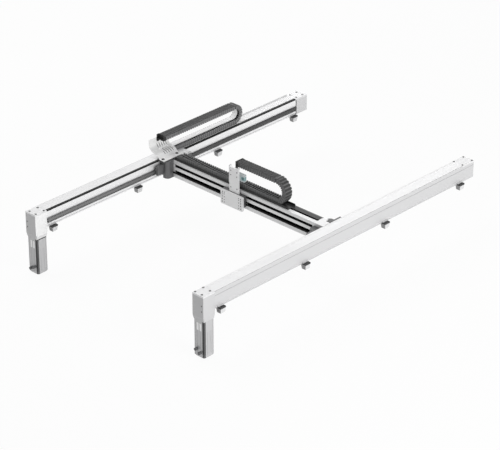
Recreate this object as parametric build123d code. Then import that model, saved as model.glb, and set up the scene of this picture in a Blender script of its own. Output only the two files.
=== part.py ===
from build123d import *
import os
from math import pi, cos, sin, tan, radians

os.makedirs("parts", exist_ok=True)

# Surface gantry: two parallel beams along X, a cross-beam that slides along them, and a tool
# carriage that slides along the cross-beam. Origin: centre of the corner feet's holes, on the
# plane that the feet stand on. Beam a lies at +Y, beam b at -Y; the motors are at -X.

# Driving dimensions of the frame, in millimetres
axis_spacing = 1333        # between the centre lines of the two beams
beam_length = 2250         # over both end housings
beam_width = 81
beam_height = 107
beam_wall = 6
foot_height = 32
feet_per_side = 4
foot_width = 40
foot_end_gap = 5.5         # between a corner foot and the longer end housing
foot_hole_r = 4.5
groove_low = 7             # grooves for the feet, above a beam's underside
groove_high = 12
groove_depth = 4

# End housings
drive_housing_length = 88.5
drive_housing_height = 161
idler_housing_length = 102
lid_thickness = 10
housing_wall = 5
housing_taper_height = 27

# Motors, hung under the drive housings
motor_width = 75
motor_length = 162
motor_corner = 12
adapter_height = 66
motor_edge = 5

# Toothed belt, in its H-shaped loop
belt_width = 10
belt_thickness = 2.4
belt_inset = 8             # from a beam's side face to the belt's centre line
belt_height = 31           # belt centre line above a beam's underside
tooth_count = 40
tooth_depth = 1.6

# Guide rails and runner blocks
rail_width = 15
rail_height = 15
rail_level = 46.5          # rail centre line above a beam's underside
rail_recess = 4            # depth of the recess that holds a rail
recess_bottom = 23
recess_top = 61
strip_width = 12           # rabbet along the inner top edge, with a plastic strip
strip_depth = 9
strip_sink = 0.5           # strip's top below the beam's top
runner_width = 34
runner_length = 40
runner_height = 24         # from the rail's base to the block's mounting face
rail_clearance = 0.25

# Slides that carry the cross-beam
cross_rest = -59.5         # cross-beam centre at rest
slide_length = 280
slide_housing_length = 181
slide_gap = 0.8            # between a slide and its beam's side face
slide_inner_face = 560     # where the cross-beam butts against a slide
slide_corner = 24
slide_plate = 14
slide_rise = 2             # top of slide a above the beams
slide_drop = 18            # tops of the wings and of slide b below the beams' top
lid_sheet = 6
roller_r = 14.5
axle_r = 4
running_clearance = 0.05

# Cross-beam
cross_width = 81
slot_upper = (20, 38)      # slots in the front face, below the top
slot_lower = (57, 76)
cross_cavity = (10, 88)
cross_cavity_depth = 42

# Tool carriage
carriage_rest = 51         # tool plate centre at rest
tool_width = 175
tool_height = 90
tool_plate_thickness = 12
tool_front = 35            # tool plate front, ahead of the cross-beam's face
tool_top = 22              # tool plate top, below the cross-beam's top
tool_hole_r = 3.4
tool_hole_pitch = 20
post_width = 74
post_height = 156
post_thickness = 10
post_offset = -3           # post's centre from the tool plate's centre

# Energy chains
chain_pitch = 17
chain_x_width = 59
chain_x_height = 28
chain_x_bend_r = 48        # bend radius at mid link
chain_x_end = 503          # bend centre at rest
chain_x_fixed = -60        # fixed end of the lower run
chain_y_width = 54
chain_y_height = 33
chain_y_bend_r = 64.5
chain_y_end = -250
chain_wall = 3
link_gap = 0.5
inner_bar = 4
tray_sheet = 1.5
tray_lip = 15
tray_y_end = -350
seat = 0.3                 # play between pieces that rest on each other

# Derived places
beam_y = axis_spacing / 2
beam_inner = beam_y - beam_width / 2
beam_outer = beam_y + beam_width / 2
foot_end = max(drive_housing_length, idler_housing_length) + foot_end_gap + foot_width / 2
foot_pitch = (beam_length - 2 * foot_end) / (feet_per_side - 1)
z_low = foot_height
z_top = foot_height + beam_height
x_drive_end = -beam_length / 2
x_profile_start = x_drive_end + drive_housing_length
x_idler_end = beam_length / 2
x_profile_end = x_idler_end - idler_housing_length
x_drive = x_drive_end + drive_housing_length / 2
x_idler = x_idler_end - idler_housing_length / 2
z_belt = z_low + belt_height
z_rail = z_low + rail_level
rail_base = beam_inner + rail_recess
rail_front = rail_base - rail_height
belt_y = beam_inner + belt_inset
pulley_r = beam_width / 2 - belt_inset
cross_front = cross_rest - cross_width / 2
cross_back = cross_rest + cross_width / 2
slide_outer_face = beam_inner - slide_gap
roller_y = belt_y - roller_r - belt_thickness / 2 - seat
chain_x_y = beam_inner + strip_width + chain_x_width / 2
z_x_low = z_top + tray_sheet + seat + chain_x_height / 2
z_x_high = z_x_low + 2 * chain_x_bend_r
chain_x_moving = cross_rest - 22
chute_over_chain = z_x_low + chain_x_height / 2 + 1 + tray_sheet
chute_wall = chain_x_y + chain_x_width / 2 + 1.5
cross_tray_top = z_top + tray_sheet
z_y_low = cross_tray_top + seat + chain_y_height / 2
z_y_high = z_y_low + 2 * chain_y_bend_r
chain_y_x = cross_front + 14 + chain_y_width / 2
chain_y_fixed = slide_inner_face - 20
post_y = carriage_rest + post_offset
chain_y_moving = post_y - 3
foot_reach = 27            # how far an inner foot stands out from its beam
z_foot_clear = z_low + 18
front_strand_x = cross_front + 12
rear_strand_x = cross_back - 12
roller_offset = roller_r + belt_thickness / 2 + seat


def block(x0, x1, y0, y1, z0, z1):
    return Pos((x0 + x1) / 2, (y0 + y1) / 2, (z0 + z1) / 2) * Box(x1 - x0, y1 - y0, z1 - z0)


def rect(a0, a1, b0, b1):
    return Pos((a0 + a1) / 2, (b0 + b1) / 2) * Rectangle(a1 - a0, b1 - b0)


def rod(x, y, z0, z1, r):
    return Pos(x, y, (z0 + z1) / 2) * Cylinder(r, z1 - z0)


def rod_x(x0, x1, y, z, r):
    return Pos((x0 + x1) / 2, y, z) * Rot(0, 90, 0) * Cylinder(r, x1 - x0)


def across(shape):
    """The same piece for the other beam."""
    return mirror(shape, about=Plane.XZ)


def save(name, *solids):
    shape = solids[0] if len(solids) == 1 else Compound(children=list(solids))
    shape.label = name
    export_step(shape, f"parts/{name}.step")


def save_pair(stem, shape):
    save(f"{stem}_a", shape)
    save(f"{stem}_b", across(shape))


# Beams: extruded profiles with a sensor slot, a rail recess and a belt chamber
def beam_section():
    w = beam_wall
    outline = rect(beam_inner, beam_outer, z_low, z_top)
    rabbet = rect(beam_inner, beam_inner + strip_width, z_top - strip_depth, z_top)
    rail_seat = rect(beam_inner, beam_inner + rail_recess, z_low + recess_bottom, z_low + recess_top)
    belt_room = rect(beam_inner, belt_y + w, z_low + recess_bottom, z_belt + belt_width / 2 + 1)
    return_room = rect(beam_outer - belt_inset - w, beam_outer - belt_inset + 4,
                       z_belt - belt_width / 2 - 2, z_belt + belt_width / 2 + 2)
    top_room = rect(beam_inner + strip_width + w, beam_outer - w, z_top - 48, z_top - 20)
    mid_room = rect(beam_inner + 22, beam_outer - 2 * w - belt_inset, z_belt - 8, z_top - 54)
    low_room = rect(beam_inner + w, beam_outer - w, z_low + w, z_low + recess_bottom - w)
    groove_levels = (z_low + groove_low, z_low + groove_high)
    foot_groove = rect(beam_inner, beam_inner + groove_depth, *groove_levels)
    foot_groove += rect(beam_outer - groove_depth, beam_outer, *groove_levels)
    low_room -= rect(beam_inner, beam_inner + groove_depth + 3, z_low, z_low + groove_high + 3)
    low_room -= rect(beam_outer - groove_depth - 3, beam_outer, z_low, z_low + groove_high + 3)
    side_line = rect(beam_outer - 1, beam_outer, z_top - 28, z_top - 26)
    cuts = [rabbet, rail_seat, belt_room, return_room, top_room, mid_room, low_room,
            foot_groove, side_line]
    for cut in cuts:
        outline -= cut
    return outline


def beam():
    plane = Plane.YZ.offset(x_profile_start)
    return extrude(plane * beam_section(), amount=x_profile_end - x_profile_start)


def sensor_strip():
    inset = 1
    return block(x_profile_start + inset, x_profile_end - inset, beam_inner + inset,
                 beam_inner + strip_width, z_top - strip_depth, z_top - strip_sink)


# Guide rails: ground steel with a waist along each flank
def rail_section(half=rail_width / 2, waist=1.5):
    points = [(-half, 0), (half, 0), (half, 4), (half - waist, 6), (half - waist, 9), (half, 11),
              (half, rail_height), (-half, rail_height), (-half, 11), (-half + waist, 9),
              (-half + waist, 6), (-half, 4)]
    return make_face(Polyline(*points, close=True))


def guide_rail():
    inset = 2
    plane = Plane(origin=(x_profile_start + inset, rail_base, z_rail), x_dir=(0, 0, 1), z_dir=(1, 0, 0))
    return extrude(plane * rail_section(), amount=x_profile_end - x_profile_start - 2 * inset)


# End housings
def belt_cavity(x0, x1):
    inside = beam_width / 2 - housing_wall
    return block(x0, x1, beam_y - inside, beam_y + inside, z_belt - 14, z_belt + 14)


bearing_r = 16
bearing_height = 9
shaft_r = 8
coupling_r = 20
z_cavity_top = z_belt + 14
z_cavity_bottom = z_belt - 14
z_housing_bottom = z_top - drive_housing_height


def drive_housing():
    z0 = z_housing_bottom + housing_taper_height
    body = block(x_drive_end, x_profile_start, beam_inner, beam_outer, z0, z_top - lid_thickness)
    skirt = Pos(x_drive, beam_y, z0) * Rectangle(drive_housing_length, beam_width)
    hem = Pos(x_drive, beam_y, z_housing_bottom) * Rectangle(motor_width + 1, motor_width + 1)
    body += loft([hem, skirt])
    body -= belt_cavity(x_drive_end + housing_wall, x_profile_start)
    body -= rod(x_drive, beam_y, z_cavity_top, z_cavity_top + bearing_height, bearing_r)
    body -= rod(x_drive, beam_y, z_cavity_top, z_top, shaft_r + 2)
    body -= rod(x_drive, beam_y, z_cavity_bottom - bearing_height, z_cavity_bottom, bearing_r)
    body -= rod(x_drive, beam_y, z_housing_bottom, z_cavity_bottom, shaft_r + 2)
    body -= rod(x_drive, beam_y, z_housing_bottom, z_cavity_bottom - bearing_height - 8, coupling_r + 4)
    return body


def idler_housing():
    body = block(x_profile_end, x_idler_end, beam_inner, beam_outer, z_low, z_top - lid_thickness)
    body -= belt_cavity(x_profile_end, x_idler_end - housing_wall)
    body -= rod(x_idler, beam_y, z_cavity_top, z_top - 24, axle_r * 2)
    body -= rod(x_idler, beam_y, z_low + 8, z_cavity_bottom, axle_r * 2)
    return body


def lid(x0, x1):
    plate = block(x0, x1, beam_inner, beam_outer, z_top - lid_thickness, z_top)
    return chamfer(plate.faces().sort_by(Axis.Z)[-1].edges(), 0.8)


# Drive: servo motor, coupling housing and pulley shaft, one below the other
z_adapter_bottom = z_housing_bottom - adapter_height
z_motor_bottom = z_adapter_bottom - motor_length


window_width = 14
window_gap = 7
window_top = 16            # below the housing
window_bottom = 4          # above the motor
window_depth = 1.5
seal_height = 6
seal_depth = 3
tie_rod_r = 6


def cornered_square():
    """Square with notched corners, and a tie rod in each notch."""
    half = motor_width / 2
    section = Rectangle(motor_width, motor_width)
    for sx in (-1, 1):
        for sy in (-1, 1):
            section -= Pos(sx * (half - motor_corner / 2), sy * (half - motor_corner / 2)) \
                * Rectangle(motor_corner, motor_corner)
            section += Pos(sx * (half - tie_rod_r - 0.5), sy * (half - tie_rod_r - 0.5)) * Circle(tie_rod_r)
    return section


def motor_adapter():
    half = motor_width / 2
    body = Pos(x_drive, beam_y, z_adapter_bottom) * extrude(cornered_square(), amount=adapter_height)
    body -= rod(x_drive, beam_y, z_adapter_bottom, z_housing_bottom, coupling_r + 4)
    reach = (window_width + window_gap) / 2
    for y in (beam_y - reach, beam_y + reach):
        body -= block(x_drive - half, x_drive - half + window_depth, y - window_width / 2, y + window_width / 2,
                      z_adapter_bottom + window_bottom, z_housing_bottom - window_top)
    return body - block(x_drive - half, x_drive + half, beam_y - half, beam_y - half + seal_depth,
                        z_housing_bottom - seal_height, z_housing_bottom)


def motor():
    half = motor_width / 2
    section = cornered_square()
    for offset in (-12, 12):
        groove = Rectangle(5, 2)
        section -= Pos(offset, half) * groove
        section -= Pos(offset, -half) * groove
        section -= Pos(half, offset) * Rot(0, 0, 90) * groove
        section -= Pos(-half, offset) * Rot(0, 0, 90) * groove
    body = Pos(x_drive, beam_y, z_motor_bottom) * extrude(section, amount=motor_length)
    cap = Pos(x_drive, beam_y, z_motor_bottom + 12) * Box(motor_width - 2, motor_width - 2, 24)
    cap = chamfer(cap.edges().filter_by(Axis.Z), motor_corner * 0.8)
    cap = chamfer(cap.faces().sort_by(Axis.Z)[0].edges(), motor_edge)
    trimmed = body - Pos(x_drive, beam_y, z_motor_bottom + 12) * Box(motor_width, motor_width, 24)
    return trimmed + cap - rod(x_drive, beam_y, z_adapter_bottom - 16, z_adapter_bottom, shaft_r + 1)


plug_reach = 17
plug_r = 8.5
power_plug = (-16, 50)     # across from the motor's centre, and above its lower end
encoder_plug = (12, 34)


def motor_connectors():
    face = x_drive - motor_width / 2
    pieces = []
    for across_centre, rise in (power_plug, encoder_plug):
        y, z = beam_y + across_centre, z_motor_bottom + rise
        pieces.append(rod_x(face - plug_reach, face, y, z, plug_r))
    return pieces


def drive_shaft():
    """Toothed pulley, shaft and coupling hub, turned from one bar."""
    tooth_arc = 2 * pi / tooth_count
    tip = pulley_r - belt_thickness / 2 - seat
    root = tip - tooth_depth
    outline = []
    for i in range(tooth_count):
        start = i * tooth_arc
        for r, share in ((root, 0.0), (tip, 0.3), (tip, 0.7)):
            angle = start + share * tooth_arc
            outline.append((r * cos(angle), r * sin(angle)))
    teeth = make_face(Polyline(*outline, close=True))
    half = belt_width / 2 + 1
    pulley = Pos(x_drive, beam_y, z_belt - half) * extrude(teeth, amount=2 * half)
    flange_r = pulley_r + belt_thickness / 2 + 0.6
    pulley += rod(x_drive, beam_y, z_belt + half, z_belt + half + 1.5, flange_r)
    pulley += rod(x_drive, beam_y, z_belt - half - 1.5, z_belt - half, flange_r)
    pulley += rod(x_drive, beam_y, z_housing_bottom, z_cavity_top + bearing_height + 2, shaft_r)
    pulley += rod(x_drive, beam_y, z_adapter_bottom + 4, z_housing_bottom + 10, coupling_r)
    pulley += rod(x_drive, beam_y, z_adapter_bottom - 14, z_adapter_bottom + 4, shaft_r)
    return pulley


def bearing(x, y, z0, outer, inner, height=bearing_height):
    return rod(x, y, z0, z0 + height, outer) - rod(x, y, z0, z0 + height, inner)


def drive_bearings():
    inner = shaft_r + running_clearance
    pair = [bearing(x_drive, beam_y, z_cavity_top, bearing_r, inner),
            bearing(x_drive, beam_y, z_cavity_bottom - bearing_height, bearing_r, inner)]
    return pair + [across(ring) for ring in pair]


# Idler: plain flanged pulley on a fixed axle
def idler_pulley():
    half = belt_width / 2 + 1
    tip = pulley_r - belt_thickness / 2 - seat
    flange_r = pulley_r + belt_thickness / 2 + 0.6
    wheel = rod(x_idler, beam_y, z_belt - half, z_belt + half, tip)
    wheel += rod(x_idler, beam_y, z_belt + half, z_belt + half + 1.5, flange_r)
    wheel += rod(x_idler, beam_y, z_belt - half - 1.5, z_belt - half, flange_r)
    wheel -= rod(x_idler, beam_y, z_belt - 9, z_belt + 9, axle_r * 2 + running_clearance)
    return wheel


def idler_axle():
    axle = rod(x_idler, beam_y, z_low + 8, z_top - 24, axle_r * 2)
    return axle + rod(x_idler, beam_y, z_cavity_bottom + seat, z_belt - 8, axle_r * 2 + 4)


# Belt strands
def strand_section(z=z_belt):
    return Rectangle(belt_thickness, belt_width)


def belt_outer():
    """Strand along the beam's outer side, with the half turns over both pulleys."""
    r0, r1 = pulley_r - belt_thickness / 2, pulley_r + belt_thickness / 2
    ring = Circle(r1) - Circle(r0)
    reach = 2 * r1
    drive_turn = Pos(x_drive, beam_y) * (ring & Pos(-reach / 2, 0) * Rectangle(reach, reach))
    idler_turn = Pos(x_idler, beam_y) * (ring & Pos(reach / 2, 0) * Rectangle(reach, reach))
    strand = rect(x_drive, x_idler, beam_y + r0, beam_y + r1)
    path = drive_turn + idler_turn + strand
    return Pos(0, 0, z_belt - belt_width / 2) * extrude(path, amount=belt_width)


def strand(x0, x1, y0, y1):
    return block(x0, x1, y0, y1, z_belt - belt_width / 2, z_belt + belt_width / 2)


half_belt = belt_thickness / 2
roller_front_x = front_strand_x - roller_offset
roller_rear_x = rear_strand_x + roller_offset


def roller_turn(x, side):
    """Quarter turn of the belt round a deflection roller; side is +1 towards +X."""
    ring = Circle(roller_offset + half_belt) - Circle(roller_offset - half_belt)
    quarter = ring & Pos(side * 20, 20) * Rectangle(40, 40)
    return Pos(x, roller_y, z_belt - belt_width / 2) * extrude(quarter, amount=belt_width)


def belt_drive_strand():
    return strand(x_drive, roller_front_x - seat, belt_y - half_belt, belt_y + half_belt)


def belt_idler_strand():
    return strand(roller_rear_x + seat, x_idler, belt_y - half_belt, belt_y + half_belt)


def belt_cross_rear():
    line = strand(rear_strand_x - half_belt, rear_strand_x + half_belt, -roller_y, roller_y)
    turn = roller_turn(roller_rear_x, -1)
    return line + turn + across(turn)


def belt_cross_front(end):
    line = strand(front_strand_x - half_belt, front_strand_x + half_belt, end, roller_y)
    return line + roller_turn(roller_front_x, 1)


# Feet: clamps that hook into the beams' lower grooves, each on a tapered block
clamp_height = 4           # thickness of the clamp's plate under the beam
clamp_rise = 5             # plate's top beside the beam, above the beam's underside
clamp_under = 16           # reach under the beam
clamp_reach = 24           # reach out from the beam
clamp_lip = 7              # thickness of the upright lip with the hook
foot_hole_offset = 12      # from a beam's side face to the foot's hole
foot_places = [(i - (feet_per_side - 1) / 2) * foot_pitch for i in range(feet_per_side)]


def foot(x, face, out):
    """Clamp and block at the side face y = face; out is the sign of the outward direction."""
    hook_top = groove_high - seat
    hook_tip = seat - groove_depth
    profile = [(-clamp_under, 0), (-clamp_under, -clamp_height), (clamp_reach, -clamp_height),
               (clamp_reach, clamp_rise), (clamp_lip, clamp_rise), (clamp_lip, hook_top),
               (hook_tip, hook_top), (hook_tip, groove_low + seat), (seat, groove_low + seat), (seat, 0)]
    outline = [(face + out * reach, z_low + rise) for reach, rise in profile]
    section = Plane.YZ.offset(x) * make_face(Polyline(*outline, close=True))
    hole_y = face + out * foot_hole_offset
    clamp = extrude(section, amount=foot_width / 2, both=True)
    clamp -= rod(x, hole_y, z_low - clamp_height, z_low + clamp_rise, foot_hole_r)
    top = Plane(origin=(x, face + out * (clamp_reach / 2 - 6), z_low - clamp_height), z_dir=(0, 0, -1))
    stand = extrude(top * Rectangle(foot_width, clamp_reach + 10), amount=foot_height - clamp_height, taper=7)
    stand -= rod(x, hole_y, 0, foot_height, foot_hole_r)
    return clamp, stand


# Slides: housings with the deflection rollers, and wings on two runner blocks each
def slide_body():
    x0, x1 = cross_rest - slide_housing_length / 2, cross_rest + slide_housing_length / 2
    z1 = z_top + slide_rise
    body = block(x0, x1, slide_inner_face, slide_outer_face, z_low, z1)
    corners = body.edges().filter_by(Axis.Z).group_by(Axis.Y)[0]
    body = fillet(corners, slide_corner)
    wing_y0 = rail_base - runner_height - slide_plate
    wings = block(cross_rest - slide_length / 2, cross_rest + slide_length / 2,
                  wing_y0, rail_base - runner_height,
                  z_rail - runner_width / 2, z_top - slide_drop)
    body += wings
    body -= block(x0 - 60, x1 + 60, rail_front - 2, beam_inner,
                  z_rail - rail_width / 2 - 2.5, z_rail + rail_width / 2 + 2.5)
    pocket_x0, pocket_x1 = roller_front_x - roller_r - 3, roller_rear_x + roller_r + 3
    body -= block(pocket_x0, pocket_x1, roller_y - roller_r - 3, beam_inner,
                  z_belt - belt_width / 2 - 2, z_belt + belt_width / 2 + 2.5)
    for strand_x in (front_strand_x, rear_strand_x):
        body -= block(strand_x - 4, strand_x + 4, slide_inner_face, roller_y,
                      z_belt - belt_width / 2 - 2, z_belt + belt_width / 2 + 2)
    for x in (roller_front_x, roller_rear_x):
        body -= rod(x, roller_y, z_low, z_belt, axle_r)
    body -= block(x0, x1, slide_outer_face - foot_reach, beam_inner, z_low, z_foot_clear)
    room = runner_width / 2 + seat
    for x in runner_places():
        body -= block(x - runner_length / 2 - seat, x + runner_length / 2 + seat,
                      rail_base - runner_height, beam_inner, z_rail - room, z_rail + room)
    return body


def slide_b():
    """The same slide without its upper part; the cap on the cross-beam's end takes that place."""
    x0, x1 = cross_rest - slide_housing_length / 2, cross_rest + slide_housing_length / 2
    low = slide_body() - block(x0, x1, slide_inner_face, slide_outer_face, z_top - slide_drop, z_top + slide_rise)
    return across(low)


def runner_places():
    reach = slide_length / 2 - 5 - runner_length / 2
    return (cross_rest - reach, cross_rest + reach)


def roller():
    width = belt_width + 2
    wheel = rod(0, 0, -width / 2, width / 2, roller_r)
    return wheel - rod(0, 0, -width / 2, width / 2, axle_r + running_clearance)


def roller_axle(x):
    return rod(x, roller_y, z_foot_clear, z_belt + belt_width / 2 + 1.3, axle_r)


def runner_blocks():
    y0, y1 = rail_base - runner_height, beam_inner - 0.5
    half = rail_width / 2 + rail_clearance
    blocks = []
    for x in runner_places():
        runner = block(x - runner_length / 2, x + runner_length / 2, y0, y1,
                       z_rail - runner_width / 2, z_rail + runner_width / 2)
        runner -= block(x - runner_length, x + runner_length, rail_front - rail_clearance, beam_inner,
                        z_rail - half, z_rail + half)
        blocks.append(runner)
    return blocks


lid_overhang = 14.5        # of the lid beyond the slide's housing, at each end
lid_half = slide_housing_length / 2 + lid_overhang


def slide_lid_a():
    x0, x1 = cross_rest - lid_half, cross_rest + lid_half
    z0 = z_top + slide_rise
    plate = block(x0, x1, slide_inner_face + 14, beam_inner + 9, z0, z0 + lid_sheet)
    return fillet(plate.edges().filter_by(Axis.Z), 8)


def slide_lid_b():
    """Cap as wide as the cross-beam, level with its top."""
    return block(cross_front, cross_back, -slide_outer_face, -slide_inner_face, z_top - slide_drop, z_top)


# Cross-beam: profile with an open chamber behind a fixed cover strip
def cross_section():
    x0, x1 = cross_front, cross_back
    w = beam_wall
    outline = rect(x0, x1, z_low, z_top)
    cavity = rect(x0 + 4, x0 + cross_cavity_depth, z_top - cross_cavity[1], z_top - cross_cavity[0])
    mouth = rect(x0, x0 + 4, z_top - slot_lower[1], z_top - slot_upper[0])
    return_room = rect(rear_strand_x - 6, rear_strand_x + 6, z_belt - belt_width / 2 - 2,
                       z_belt + belt_width / 2 + 2)
    upper_room = rect(x0 + cross_cavity_depth + w, x1 - w, z_belt + belt_width, z_top - w)
    lower_room = rect(x0 + w, x1 - w, z_low + 5, z_top - cross_cavity[1] - 5)
    for cut in (cavity, mouth, return_room, upper_room, lower_room):
        outline -= cut
    return outline


def along_y(section, y_high, y_low):
    return extrude(Plane.XZ.offset(-y_high) * section, amount=y_high - y_low)


def cross_beam():
    return along_y(cross_section(), slide_inner_face, -slide_inner_face)


cross_rail_x = cross_front + cross_cavity_depth
cross_rail_z = z_top - (slot_upper[0] + slot_lower[1]) / 2


def cross_rail():
    inset = 3
    plane = Plane(origin=(cross_rail_x, slide_inner_face - inset, cross_rail_z), x_dir=(0, 0, -1),
                  z_dir=(0, -1, 0))
    section = Rot(0, 0, 180) * rail_section()
    return extrude(plane * section, amount=2 * (slide_inner_face - inset))


cover_strip_thickness = 3


def cover_strip():
    strip = block(cross_front, cross_front + cover_strip_thickness, -slide_inner_face, slide_inner_face,
                  z_top - slot_lower[0], z_top - slot_upper[1])
    for y in (-slide_inner_face + 6, slide_inner_face - 6):
        strip += block(cross_front, cross_front + cover_strip_thickness, y - 6, y + 6,
                       z_top - slot_lower[1], z_top - slot_upper[0])
    return strip


# Cable chute: bent sheet that leads the cables from chain x down to chain y
chute_length = 152.5
chute_height = 99          # above the lid that it is screwed to
chute_flange = 35
chute_bend_r = 45          # under the upright wall
chute_slots = 5
chute_slot_width = 5
chute_slot_pitch = 17


def cable_chute():
    z0 = z_top + slide_rise + lid_sheet
    x0 = cross_rest - lid_half + 1
    x1 = x0 + chute_length
    flange = slide_inner_face + 15
    half = tray_sheet / 2
    points = [(flange, z0 + half), (flange + chute_flange, z0 + half),
              (chain_x_y - chain_x_width / 2 - 1, chute_over_chain),
              (chute_wall + half, chute_over_chain + 8), (chute_wall + half, z0 + chute_height)]
    path = FilletPolyline(*points, radius=[14, 14, chute_bend_r])
    sheet = extrude(Plane.YZ.offset(x0) * trace(path, tray_sheet), amount=x1 - x0)
    for i in range(chute_slots):
        x = cross_rest - 9 + (i - (chute_slots - 1) / 2) * chute_slot_pitch
        sheet -= block(x - chute_slot_width / 2, x + chute_slot_width / 2, beam_inner + 18,
                       beam_outer - 24, z0, z0 + 0.7 * chute_height)
    return sheet


# Energy chains
def link(inner_length, outer_length, width, height, crown=0):
    """One link along X, loop inside at -Z: two side plates and a full outer bar."""
    top = height / 2 - crown
    corners = [(-inner_length / 2, -height / 2), (inner_length / 2, -height / 2),
               (outer_length / 2, top), (-outer_length / 2, top)]
    side = Plane.XZ.offset(-width / 2) * make_face(Polyline(*corners, close=True))
    trough = Pos(0, 0, -chain_wall) * Box(2 * outer_length, width - 2 * chain_wall, height)
    return extrude(side, amount=width) - trough


def barred(shape, width, height):
    """The same link with a narrow bar that closes its inner side."""
    return shape + Pos(0, 0, (chain_wall - height) / 2) * Box(inner_bar, width - chain_wall, chain_wall)


def chain_run(start, end, width, height):
    """Upper row of links from start to end along X, centred on Y and Z."""
    span = abs(end - start)
    count = max(1, round(span / chain_pitch))
    pitch = span / count
    low = min(start, end)
    plain = link(pitch - link_gap, pitch - link_gap, width, height)
    pair = (plain, barred(plain, width, height))
    return [Pos(low + (i + 0.5) * pitch, 0, 0) * pair[i % 2] for i in range(count)]


def lower_run(start, end, width, height):
    return [Rot(180, 0, 0) * item for item in chain_run(start, end, width, height)]


def chain_bend(width, height, radius):
    """Half turn of links about the Y axis, opening to -X."""
    count = round(pi * radius / chain_pitch)
    step = 180 / count
    half = radians(step) / 2
    outer = radius + height / 2
    plain = link(2 * (radius - height / 2) * tan(half) - link_gap, 2 * outer * sin(half) - link_gap,
                 width, height, outer * (1 - cos(half)))
    pair = (barred(plain, width, height), plain)
    links = []
    for i in range(count):
        angle = -90 + (i + 0.5) * step
        links.append(Rot(0, -angle, 0) * Pos(radius, 0, 0) * Rot(0, 90, 0) * pair[i % 2])
    return links


def place_x(items, x, z):
    return [Pos(x, chain_x_y, z) * item for item in items]


def place_y(items, y, z):
    """Chain along Y: local +X becomes -Y."""
    return [Pos(chain_y_x, y, z) * Rot(0, 0, -90) * item for item in items]


def chain_x_tray():
    y0, y1 = chain_x_y - chain_x_width / 2, chain_x_y + chain_x_width / 2 + 3
    x0 = chain_x_fixed - 24
    tray = block(x0, x_profile_end - 4, y0, y1, z_top, z_top + tray_sheet)
    tray += block(x0, x_profile_end - 4, y1 - 1, y1, z_top, z_top + 8)
    tray += block(x0, chain_x_fixed - link_gap, y0 + 6, y1 - 6, z_top, z_x_low)
    return tray


def chain_x_bracket():
    """Angle that holds the chain's moving end against the chute's upright wall."""
    x0, x1 = chain_x_moving - 20, chain_x_moving - link_gap
    y0 = chain_x_y - chain_x_width / 2
    bottom = z_x_high - chain_x_height / 2
    wall = chute_wall - seat
    angle = block(x0, x1, y0, wall, bottom, bottom + chain_x_height)
    angle -= block(x0, x1 - 4, y0 + 3, wall - 4, bottom + 3, bottom + chain_x_height)
    angle += block(x0, x1, wall - 4, wall, bottom - 16, bottom + chain_x_height)
    return angle


def chain_y_tray():
    x0, x1 = chain_y_x - chain_y_width / 2 - 4, chain_y_x + chain_y_width / 2 + 4
    y1 = slide_inner_face - 1
    tray = block(x0, x1, tray_y_end, y1, z_top, cross_tray_top)
    tray += block(x0, x0 + tray_sheet, tray_y_end, y1, z_top, z_top + tray_lip)
    tray += block(x1 - tray_sheet, x1, tray_y_end, y1, z_top, z_top + tray_lip)
    tray += block(chain_y_x, cross_back - 10, -slide_inner_face + 4, tray_y_end, z_top, cross_tray_top)
    tray += block(x0 + 4, x1 - 4, chain_y_fixed + link_gap, y1, z_top, z_y_low)
    return tray


# Tool carriage
z_arm = max(z_top - slot_lower[1] + 2, z_belt + belt_width / 2)


def tool_hole_places():
    side = tool_width / 2 - 14
    z_mid = z_top - tool_top - tool_height / 2
    return [(carriage_rest + sy * side, z_mid + i * tool_hole_pitch)
            for sy in (-1, 1) for i in (-1.5, -0.5, 0.5, 1.5)]


def tool_plate():
    x0 = cross_front - tool_front
    z0 = z_top - tool_top - tool_height
    plate = block(x0, x0 + tool_plate_thickness, carriage_rest - tool_width / 2,
                  carriage_rest + tool_width / 2, z0, z0 + tool_height)
    plate = fillet(plate.edges().filter_by(Axis.X), 7)
    for y, z in tool_hole_places():
        plate -= rod_x(x0, x0 + tool_plate_thickness, y, z, tool_hole_r)
    return plate


def carriage_body():
    """Frame behind the tool plate, with arms through both slots to an inner plate."""
    x_plate = cross_front - tool_front + tool_plate_thickness
    y0, y1 = carriage_rest - tool_width / 2, carriage_rest + tool_width / 2
    body = block(x_plate, cross_front - 4, y0, y1, z_top - 88, z_top - tool_top + 1)
    arm_x = cross_front + 18
    body += block(cross_front - 4, arm_x, y0 + 8, y1 - 8, z_top - slot_upper[1] + 2, z_top - slot_upper[0] - 2)
    body += block(cross_front - 4, arm_x, y0 + 8, y1 - 8, z_arm, z_top - slot_lower[0] - 2)
    body += block(cross_front + 10, arm_x, y0 + 8, y1 - 8, z_arm, z_top - slot_upper[0] - 2)
    return body


def cross_runners():
    half = rail_width / 2 + rail_clearance
    x0, x1 = cross_front + 18, cross_rail_x - 4
    blocks = []
    for sy in (-1, 1):
        y = carriage_rest + sy * 52
        runner = block(x0, x1, y - runner_length / 2, y + runner_length / 2,
                       cross_rail_z - runner_width / 2, cross_rail_z + runner_width / 2)
        front = cross_rail_x - rail_height - rail_clearance
        runner -= block(front, x1, y - runner_length, y + runner_length, cross_rail_z - half,
                        cross_rail_z + half)
        blocks.append(runner)
    return blocks


def belt_clamp():
    """Jaws under the inner plate that grip the two belt ends."""
    z0 = z_belt - belt_width / 2 - 2
    x0, x1 = cross_front + 6, cross_front + 18
    jaws = []
    for sy in (-1, 1):
        y = carriage_rest + sy * (tool_width / 2 - 8 - 15)
        jaw = block(x0, x1, y - 15, y + 15, z0, z_arm)
        jaws.append(jaw - strand(front_strand_x - half_belt, front_strand_x + half_belt, y - 15, y + 15))
    return jaws


front_belt_end = carriage_rest + tool_width / 2 - 38
back_belt_end = carriage_rest - tool_width / 2 + 38


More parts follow.
